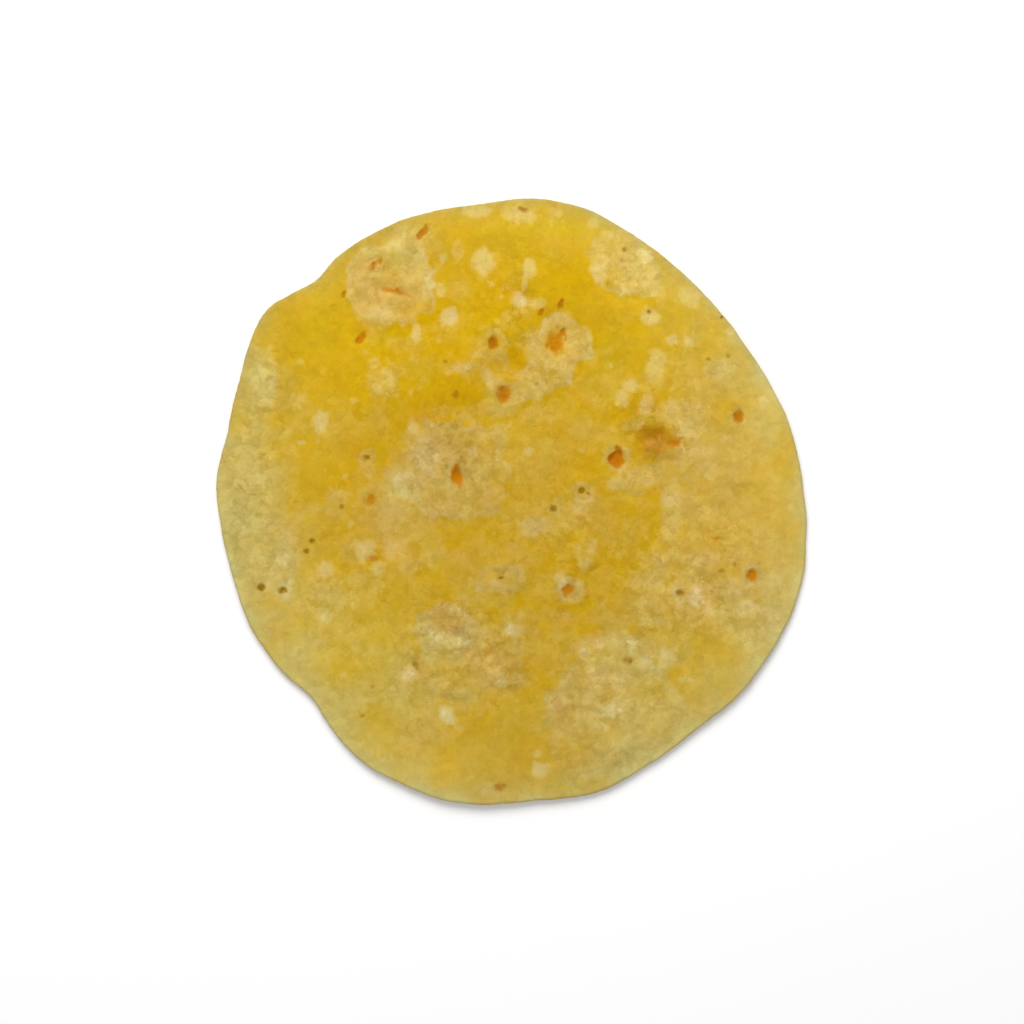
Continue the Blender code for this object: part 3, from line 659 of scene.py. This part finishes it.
# A toasted spot is browner between its rim and a core that lies off its middle, by shares of
# the spot's half width and half height. The core lies to the lower right, so the brown crescent
# is painted shade on the pit's upper-left wall, which faces away from the light, over the
# spot's own browning.
LIT_CORE_SHIFT = (0.3, -0.35)
PIT_SHADE_RIM = (1.35, 0.5)
PIT_SHADE_CORE = (0.2, 1.4)
PIT_SHADE_LEAST = 0.25
# On the shown face this mark is painted shade on each toasted pit's upper-left wall
char_and_pit_shade = np.zeros_like(x)
for spot in TOASTED_SPOTS:
    core = (spot[0] + LIT_CORE_SHIFT[0] * spot[2], spot[1] + LIT_CORE_SHIFT[1] * spot[3]) + spot[2:]
    inside = smooth(*PIT_SHADE_RIM, oval_distance(spot, x, y, spot_warp))
    outside = smooth(*PIT_SHADE_CORE, oval_distance(core, x, y, spot_warp))
    char_and_pit_shade = np.maximum(char_and_pit_shade, (spot[5] - PIT_SHADE_LEAST) * inside * outside)

# Where the dough is pinker than the rest, and where it is greener
PINK_AREAS = (
    (-8, 38, 15, 8, 0, 0.6), (-20, 24, 12, 7, 0, 0.5), (-35, 57, 10, 8, 0, 1.1),
    (-17, 24, 6, 3, 0, 0.9), (-18, 13, 14, 10, 0, 0.45), (-40, 12, 5, 6, 0, 0.4),
    (-34, -12, 8, 6, -30, 0.8), (-38, -1, 8, 4, -20, 0.5), (-17, -31, 6, 4.5, 0, 1.3),
    (-27, -47, 4, 4, 30, 1), (-6, -43, 9, 5, 0, 0.8), (12, -55, 2.6, 6, 0, 0.8),
    (26, -47, 5, 5, 0, 0.6), (40, 16, 8, 7, 0, 0.8), (38, 25.5, 7, 3.4, 0, 0.8),
    (9, 51, 6, 3, 30, 0.8), (14, 41, 7, 7, 0, 0.4), (-2, 58, 5, 9, 0, 0.4), (20, 6, 7, 12, 20, 0.4),
    (58, -14, 9, 6, 0, 0.5), (62, -22, 5, 6, 0, 0.7), (51, -26, 4, 5, 0, 0.8),
    (42, -40, 8, 5, 0, 0.5), (52, 28, 12, 7, -10, 0.4), (62, 0, 15, 20, 0, 0.3),
)
GREEN_AREAS = (
    (-42, -44, 30, 30, 0, 0.85), (-68, 4, 14, 30, 0, 0.55), (44, -42, 18, 12, 0, 0.75),
    (30, -45, 9, 7, 0, 0.5), (-36, -63, 11, 11, 0, 1), (-55, -34, 4, 4, 0, 1.1),
    (-44, -28, 9, 4, 10, 0.7), (-50, -45, 9, 5, 0, 0.7), (-67, 35, 5, 8, 0, 0.8),
    (-38, -70, 10, 7, 0, 0.5), (10, 74, 16, 2.6, 0, 0.9), (-50, 50, 6, 10, 0, 0.4),
    (46, 52, 5, 4, 0, 0.6), (26, 37, 6, 6, 0, 0.5), (73, 5, 3, 5, 0, 0.9), (57, -44, 6, 4, 0, 0.6),
    (-30, 67, 4, 4, 0, 0.9), (-30, 3.4, 5, 3, 0, 0.8), (-12, -28, 16, 4, 0, 0.4),
    (25, -42, 6, 1.8, 12, 1), (3, -58, 10, 8, 0, 0.3), (-12, -76, 6, 2, 0, 0.9),
    (14, -77, 8, 2, 0, 0.8), (31, -62, 14, 10, 0, 0.35),
)
# Where the crumb stands up in small round lumps
COBBLED_AREAS = (
    (46, -22, 22, 22, 0, 0.7), (-12, -40, 18, 14, 0, 0.9), (28, -52, 16, 18, -20, 0.5),
    (16, -14, 12, 16, 0, 0.6), (-70, 5, 9, 34, -6, 0.5), (-45, -22, 22, 14, 0, 0.4),
    (38, 20, 12, 12, 0, 0.8), (33, 62, 12, 9, -30, 0.6), (-16, 10, 15, 14, 0, 0.5),
    (0, 55, 12, 20, 0, 0.5), (-35, 34, 6, 7, 0, 0.6),
)
# The yellow grows duller and darker from the upper part down to a little below the middle: partly
# the dough's own colour and partly painted shade of light that falls from the top
DULL_AND_SHADED_FROM = 52 * MM
DULL_AND_SHADED_WHOLLY = -10 * MM
DULL_AND_SHADED_WAVER = (10 * MM, 40 * MM, 9)

# The underside lay on the griddle first, so it has more and larger toasted spots
UNDER_PALE = 0.42
UNDER_PALE_CHANGES = ((0.5, 16 * MM, 20), (0.3, 5 * MM, 22))
UNDER_CHAR = 0.6
# The rim's side goes over from one face's marks to the other's, by how far it faces up
SHOWN_FACING = (-0.35, 0.2)
under_toast = cover(strewn_ovals(
    seed=7, count=46, reach=76, sizes=(1.2, 4.2), heights=(0.5, 1.1), strengths=(0.35, 1)
))
under_pale = UNDER_PALE + sum(unevenness(x, y, *change) for change in UNDER_PALE_CHANGES)
facing_up = smooth(*SHOWN_FACING, upward)


def both_faces(shown, hidden=0.0):
    """One value on the shown face and another on the underside."""
    return facing_up * shown + (1 - facing_up) * hidden


marks = {
    "pale": both_faces(pale, under_pale),
    "bright": both_faces(bright),
    "brighter_than_pale": both_faces(brighter_than_pale),
    "shade": both_faces(shade),
    "rim": rim,
    "toast": both_faces(cover(TOASTED_SPOTS, warp=spot_warp), under_toast),
    # The shown face's part of this mark is painted pit shade, the underside's part real charring
    "char_and_pit_shade": both_faces(char_and_pit_shade, UNDER_CHAR * under_toast),
    "pinhole": both_faces(cover(PINHOLES, warp=spot_warp)),
    "tint": both_faces(cover(PINK_AREAS) - cover(GREEN_AREAS)),
    "cobbled": both_faces(cover(COBBLED_AREAS)),
    # The dull mark is partly the dough's own colour and partly painted shade, darker lower down
    "dull": smooth(DULL_AND_SHADED_FROM, DULL_AND_SHADED_WHOLLY, y + unevenness(x, y, *DULL_AND_SHADED_WAVER)),
}
for name, values in marks.items():
    attribute = sheet.data.attributes.new(name, "FLOAT", "POINT")
    attribute.data.foreach_set("value", values.astype(np.float32))

# The finish of the dough: its yellow, dried pale, mottled by the crumb, and toasted, with painted
# shade and highlight over it


def srgb(red, green, blue):
    """A colour read as screen values from 0 to 255, as the light that it reflects."""
    values = [v / 255 for v in (red, green, blue)]
    light = [((v + 0.055) / 1.055) ** 2.4 if v > 0.04 else v / 12.92 for v in values]
    return (*light, 1)


OILY_YELLOW = srgb(196, 156, 0)
DULL_SHADED_YELLOW = srgb(186, 147, 16)
# Duller and darker colours for lower down, partly painted shade
DRY_DOUGH = srgb(200, 178, 110)
DULL_SHADED_DRY_DOUGH = srgb(183, 163, 102)
DRIEST_DOUGH = srgb(204, 188, 138)
RIM_DOUGH = srgb(187, 178, 112)
PINHOLE_OLIVE = srgb(134, 98, 0)
TOASTED_BROWN = srgb(182, 114, 0)
TOASTED_ORANGE = srgb(188, 98, 6)
# The brown of charring on the underside, also the painted shade in the shown face's toasted pits
CHAR_AND_PIT_SHADE_BROWN = srgb(140, 82, 0)

dough = bpy.data.materials.new("griddled_dough")
dough.use_nodes = True
nodes = dough.node_tree.nodes
links = dough.node_tree.links
shader = nodes["Principled BSDF"]
position = nodes.new("ShaderNodeTexCoord").outputs["Object"]


def mark(name):
    """The values of one of the marks of baking."""
    node = nodes.new("ShaderNodeAttribute")
    node.attribute_name = name
    return node.outputs["Fac"]


def math_node(operation, *values):
    node = nodes.new("ShaderNodeMath")
    node.operation = operation
    for socket, value in zip(node.inputs, values):
        if isinstance(value, (int, float)):
            socket.default_value = value
        else:
            links.new(value, socket)
    return node.outputs[0]


def with_shares(start, *shares):
    """A value with shares of other values added to it."""
    for value, share in shares:
        start = math_node("MULTIPLY_ADD", value, share, start)
    return start


def vector_node(operation, vector):
    node = nodes.new("ShaderNodeVectorMath")
    node.operation = operation
    links.new(vector, node.inputs[0])
    return node


def noise_texture(size, detail, roughness, seed):
    """Noise with lumps of that size in metres, turned to lie about 0."""
    node = nodes.new("ShaderNodeTexNoise")
    node.noise_dimensions = "4D"
    links.new(position, node.inputs["Vector"])
    node.inputs["W"].default_value = seed
    node.inputs["Scale"].default_value = 1 / size
    node.inputs["Detail"].default_value = detail
    node.inputs["Roughness"].default_value = roughness
    return math_node("SUBTRACT", node.outputs["Fac"], 0.5)


# The size of the bends that make the lumps uneven, as a share of the lumps' own
BEND_SIZE = 0.8


def round_lumps(size, bend, smoothness):
    """Soft round lumps side by side: two chance values and the height of each, about 0."""
    wander = nodes.new("ShaderNodeTexNoise")
    links.new(position, wander.inputs["Vector"])
    wander.inputs["Scale"].default_value = 1 / (BEND_SIZE * size)
    bent = vector_node("MULTIPLY_ADD", wander.outputs["Color"])
    bent.inputs[1].default_value = (bend, bend, bend)
    links.new(position, bent.inputs[2])
    cells = nodes.new("ShaderNodeTexVoronoi")
    cells.feature = "SMOOTH_F1"
    links.new(bent.outputs["Vector"], cells.inputs["Vector"])
    cells.inputs["Scale"].default_value = 1 / size
    cells.inputs["Smoothness"].default_value = smoothness
    split = nodes.new("ShaderNodeSeparateColor")
    links.new(cells.outputs["Color"], split.inputs["Color"])
    values = [math_node("SUBTRACT", split.outputs[name], 0.5) for name in ("Red", "Green")]
    return values + [math_node("SUBTRACT", 0.5, cells.outputs["Distance"])]


def ramp(value, low, high, curve="SMOOTHSTEP"):
    """0 at low and 1 at high."""
    node = nodes.new("ShaderNodeMapRange")
    node.interpolation_type = curve
    links.new(value, node.inputs["Value"])
    node.inputs["From Min"].default_value = low
    node.inputs["From Max"].default_value = high
    return node.outputs["Result"]


def blend(share, under, over):
    """One colour with a share of another over it."""
    node = nodes.new("ShaderNodeMix")
    node.data_type = "RGBA"
    links.new(share, node.inputs["Factor"])
    for name, colour in (("A", under), ("B", over)):
        socket = next(s for s in node.inputs if s.name == name and s.type == "RGBA")
        if isinstance(colour, tuple):
            socket.default_value = colour
        else:
            links.new(colour, socket)
    return next(s for s in node.outputs if s.type == "RGBA")


# The crumb's patterns, from large to small
blotch = noise_texture(11 * MM, detail=2, roughness=0.5, seed=1)
patchy = noise_texture(6 * MM, detail=1, roughness=0.4, seed=5)
hue = noise_texture(3.6 * MM, detail=2, roughness=0.6, seed=4)
mottle = noise_texture(2.2 * MM, detail=3, roughness=0.6, seed=2)
grain = noise_texture(1 * MM, detail=1, roughness=0.6, seed=3)
tone, blush, dome = round_lumps(3.6 * MM, bend=7 * MM, smoothness=0.12)
small_tone, _, small_dome = round_lumps(1.8 * MM, bend=3.2 * MM, smoothness=0.12)
SEAM_WIDTH = 0.15
wrinkle = math_node("ABSOLUTE", noise_texture(3.4 * MM, detail=1, roughness=0.5, seed=6))
cobbled = mark("cobbled")
seam = math_node("MULTIPLY", ramp(wrinkle, SEAM_WIDTH, 0), cobbled)
ragged = with_shares(0, (small_tone, 0.16), (mottle, 0.9), (grain, 0.3))

# How pale each place is: drier dough shows more of the crumb. A range says where something
# begins and where it is full.
DRYNESS_RANGE = (0, 0.7)
FLAKE_RANGE = (0.02, 0.56)
DRY_RANGE = (0, 0.95)
DRIEST_RANGE = (0.7, 1.4)
dryness = ramp(mark("pale"), *DRYNESS_RANGE, "LINEAR")
mottled = with_shares(0.24, (dryness, 0.72), (cobbled, 0.45))
# The lumps' tops (dome) are made paler too, a painted highlight over the crumb's own tone
paling = with_shares(
    0, (tone, 0.26), (mottle, 0.34), (small_tone, 0.14), (grain, 0.12), (dome, 0.14),
    (patchy, 0.25), (blotch, 0.3),
)
bright = mark("bright")
flake = ramp(math_node("ADD", ragged, bright), *FLAKE_RANGE)
pale_share = with_shares(mark("pale"), (paling, mottled), (flake, mark("brighter_than_pale")))
# Duller and darker lower down: partly painted shade of light falling from the top
dull = ramp(mark("dull"), 0, 1)
yellow = blend(dull, OILY_YELLOW, DULL_SHADED_YELLOW)
dry = blend(dull, DRY_DOUGH, DULL_SHADED_DRY_DOUGH)
colour = blend(ramp(pale_share, *DRY_RANGE, "LINEAR"), yellow, dry)
colour = blend(ramp(pale_share, *DRIEST_RANGE), colour, DRIEST_DOUGH)

# Pinker where the tint is above 0, and greener below it
REDDER = 0.025
LESS_GREEN = -0.055
GREEN_LEVEL = 0.994
tint = with_shares(mark("tint"), (hue, 2), (blush, 0.6))
red_and_green = nodes.new("ShaderNodeCombineXYZ")
links.new(with_shares(1, (tint, REDDER)), red_and_green.inputs["X"])
links.new(with_shares(GREEN_LEVEL, (tint, LESS_GREEN)), red_and_green.inputs["Y"])
red_and_green.inputs["Z"].default_value = 1
tinted = vector_node("MULTIPLY", colour)
links.new(red_and_green.outputs["Vector"], tinted.inputs[1])
colour = blend(mark("rim"), tinted.outputs["Vector"], RIM_DOUGH)

# The browns of the baked places, with the painted shade in the toasted pits: the mark, where the
# brown begins and is full, and its colour
BROWNS = (
    ("pinhole", 0.12, 0.85, PINHOLE_OLIVE),
    ("toast", 0.12, 0.8, TOASTED_BROWN),
    ("toast", 0.9, 1.6, TOASTED_ORANGE),
    ("char_and_pit_shade", 0.16, 1, CHAR_AND_PIT_SHADE_BROWN),
)
brown_edge = with_shares(0, (small_tone, 0.15), (ragged, 0.9))
for name, begins, full, brown in BROWNS:
    share = ramp(math_node("ADD", brown_edge, mark(name)), begins, full)
    colour = blend(share, colour, brown)

# Light and dark over all of it
roughened = with_shares(0.58, (dryness, 0.4), (cobbled, 0.5))
# The lumps' heights and the creases lighten and darken the colour too: painted highlight on the
# lumps' tops, painted shade round their edges and along the creases
shading = with_shares(
    0, (tone, 0.12), (mottle, 0.26), (small_tone, 0.18), (grain, 0.13), (dome, 0.08),
    (small_dome, 0.06), (patchy, 0.05), (seam, -0.07),
)
lifted = with_shares(0.97, (math_node("MULTIPLY", bright, flake), 0.14), (mark("shade"), -0.07))
shaded = vector_node("SCALE", colour)
links.new(with_shares(lifted, (shading, roughened)), shaded.inputs["Scale"])
links.new(shaded.outputs["Vector"], shader.inputs["Base Color"])

# A nearly dull surface, with the finest crumb as bump
DOUGH_GLOSS = 0.04
CRUMB_BUMP = 0.4 * MM
CRUMB_BUMP_STRENGTH = 0.6
links.new(with_shares(0.5, (mottle, 0.3)), shader.inputs["Roughness"])
shader.inputs["Specular IOR Level"].default_value = DOUGH_GLOSS
bump = nodes.new("ShaderNodeBump")
bump.inputs["Strength"].default_value = CRUMB_BUMP_STRENGTH
bump.inputs["Distance"].default_value = CRUMB_BUMP
crumb = with_shares(mottle, (dome, 0.2), (grain, 0.12), (small_dome, 0.15), (seam, -0.25))
links.new(math_node("MULTIPLY", crumb, roughened), bump.inputs["Height"])
links.new(bump.outputs["Normal"], shader.inputs["Normal"])
sheet.data.materials.append(dough)

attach(sheet, "root")
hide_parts("tortilla")

# The table top
# A plain pale surface under the tortilla, much wider than the view. It lies a hair below
# the tortilla, so that the two faces don't touch, and is no part of it.

FLOOR_WIDTH = 4
FLOOR_DROP = 0.2 * MM
FLOOR_COLOUR = (0.9, 0.9, 0.9, 1)

bpy.ops.mesh.primitive_plane_add(size=FLOOR_WIDTH, location=(0, 0, -FLOOR_DROP))
floor = bpy.context.object
floor.name = "floor"
paper = bpy.data.materials.new("plain_pale_floor")
paper.use_nodes = True
paper.node_tree.nodes["Principled BSDF"].inputs["Base Color"].default_value = FLOOR_COLOUR
floor.data.materials.append(paper)

# The light and the camera
# Soft even studio light, with one wide lamp above the far edge and a little to the left, and
# a camera that looks straight down.

LAMP_PLACE = Vector((-0.12, 0.56, 0.7))
LAMP_WIDTH = 0.5
LAMP_POWER = 6
ROOM_LIGHT = 0.7
# The width that the camera sees on the table, and the tortilla's middle in the photo's pixels
FIELD = 277.5 * MM
CAMERA_HEIGHT = 0.8
FRAME_PIXELS = 1024
MIDDLE_PIXEL = (511.5, 501.5)

world = bpy.data.worlds.new("studio")
bpy.context.scene.world = world
world.use_nodes = True
world.node_tree.nodes["Background"].inputs["Color"].default_value = (1, 1, 1, 1)
world.node_tree.nodes["Background"].inputs["Strength"].default_value = ROOM_LIGHT

bpy.ops.object.light_add(type="AREA", location=LAMP_PLACE)
lamp = bpy.context.object
lamp.data.size = LAMP_WIDTH
lamp.data.energy = LAMP_POWER
lamp.rotation_euler = (-LAMP_PLACE).to_track_quat("-Z", "Y").to_euler()

pixel = FIELD / FRAME_PIXELS
across = (FRAME_PIXELS / 2 - MIDDLE_PIXEL[0]) * pixel
up = (MIDDLE_PIXEL[1] - FRAME_PIXELS / 2) * pixel
bpy.ops.object.camera_add(location=(across, up, CAMERA_HEIGHT), rotation=(0, 0, 0))
camera = bpy.context.object
camera.data.lens = camera.data.sensor_width * CAMERA_HEIGHT / FIELD
bpy.context.scene.camera = camera
bpy.context.scene.view_settings.view_transform = "Standard"
